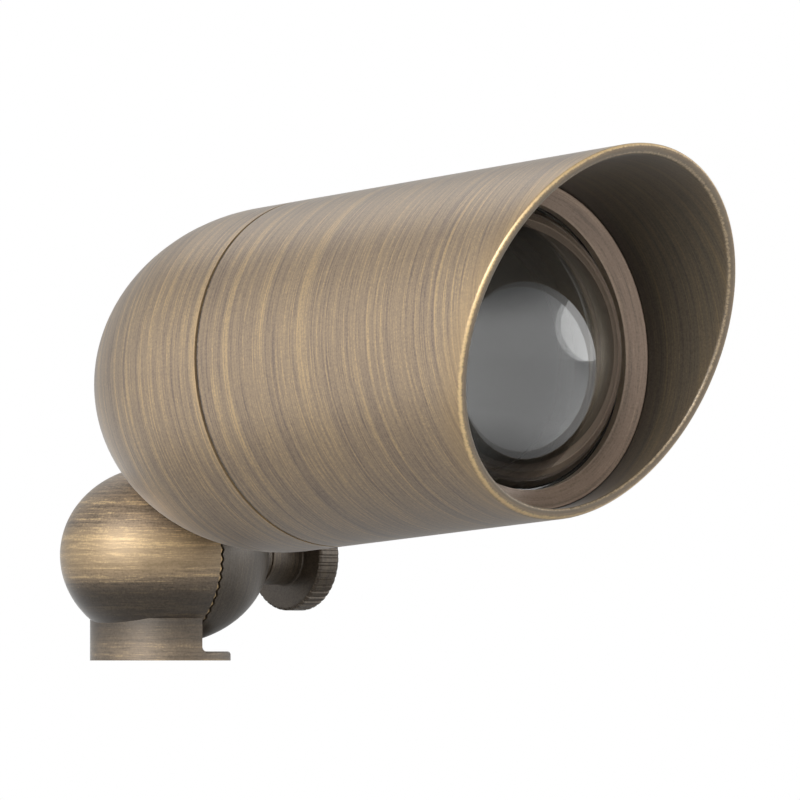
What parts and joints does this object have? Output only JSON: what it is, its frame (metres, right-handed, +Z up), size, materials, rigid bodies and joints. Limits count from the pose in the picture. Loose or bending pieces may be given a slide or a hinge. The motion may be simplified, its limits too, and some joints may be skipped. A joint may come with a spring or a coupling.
{
  "type": "landscape spotlight",
  "caption": "Outdoor brass spotlight: bullet-shaped head with a slanted glare shroud and domed lens, on a toothed tilting knuckle that a knurled thumbscrew locks.",
  "frame": {"origin": "middle of the round base face, where the light sits on its stake or post", "axes": "+Z up out of the base, the head points to -Y at rest, the thumbscrew sticks out to +X"},
  "size_m": [0.0677, 0.147, 0.0903],
  "materials": {
    "lower_knuckle": "brushed antique brass",
    "knuckle_seal": "black rubber",
    "upper_knuckle": "brushed antique brass",
    "rear_housing": "brushed antique brass",
    "knuckle_screws": "stainless steel with a bronze finish",
    "socket_bracket": "bent stainless strip",
    "bracket_screws": "plain stainless steel",
    "lamp_holder": "pale ceramic",
    "holder_screws": "plain stainless steel",
    "holder_contacts": "bright brass",
    "lead_wires": "black insulation",
    "wire_grommet": "black rubber",
    "lamp_body": "dark anodised",
    "lamp_pins": "bright brass",
    "lamp_board": "dark circuit board",
    "lamp_optic": "moulded optic",
    "housing_o_ring": "black rubber",
    "front_shroud": "brushed antique brass",
    "lens_ring": "satin bronze",
    "glass_lens": "clear pressed glass",
    "lens_gasket": "black rubber",
    "thumb_knob": "brushed antique brass with a knurled edge",
    "thumb_stud": "steel with a bronze finish",
    "thumb_washer": "antique brass",
    "lock_washer": "spring steel with a bronze finish"
  },
  "bodies": {
    "base": {"lower_knuckle": "lower_knuckle", "knuckle_seal": "knuckle_seal"},
    "head": {"upper_knuckle": "upper_knuckle", "rear_housing": "rear_housing", "knuckle_screws": "knuckle_screws", "socket_bracket": "socket_bracket", "bracket_screws": "bracket_screws", "lamp_holder": "lamp_holder", "holder_screws": "holder_screws", "holder_contacts": "holder_contacts", "lead_wires": "lead_wires", "wire_grommet": "wire_grommet", "lamp_body": "lamp_body", "lamp_pins": "lamp_pins", "lamp_board": "lamp_board", "lamp_optic": "lamp_optic"},
    "seal": {"housing_o_ring": "housing_o_ring"},
    "shroud": {"front_shroud": "front_shroud", "lens_ring": "lens_ring", "glass_lens": "glass_lens", "lens_gasket": "lens_gasket"},
    "washer": {"thumb_washer": "thumb_washer"},
    "thumbscrew": {"thumb_knob": "thumb_knob", "thumb_stud": "thumb_stud", "lock_washer": "lock_washer"}
  },
  "joints": [
    {"name": "head_tilt", "type": "hinge", "parent": "base", "child": "head", "pos_m": [0, 0, 0.0196], "axis": [-1, 0, 0], "range_deg": [-30, 95]},
    {"name": "shroud_pull", "type": "slide", "parent": "head", "child": "seal", "axis": [0, -0.9973, 0.0732], "range_m": [0, 0.014]},
    {"name": "shroud_turn", "type": "hinge", "parent": "seal", "child": "shroud", "pos_m": [0, -0.05301, 0.05287], "axis": [0, -0.9973, 0.0732], "continuous": true},
    {"name": "thumbscrew_travel", "type": "slide", "parent": "base", "child": "washer", "axis": [1, 0, 0], "range_m": [0, 0.00381]},
    {"name": "thumbscrew_turn", "type": "hinge", "parent": "washer", "child": "thumbscrew", "pos_m": [0, 0, 0.0196], "axis": [1, 0, 0], "range_deg": [0, 1080]}
  ],
  "couplings": [
    {"joint": "thumbscrew_turn", "follows": "thumbscrew_travel", "rad_per_m": 4947.4}
  ]
}
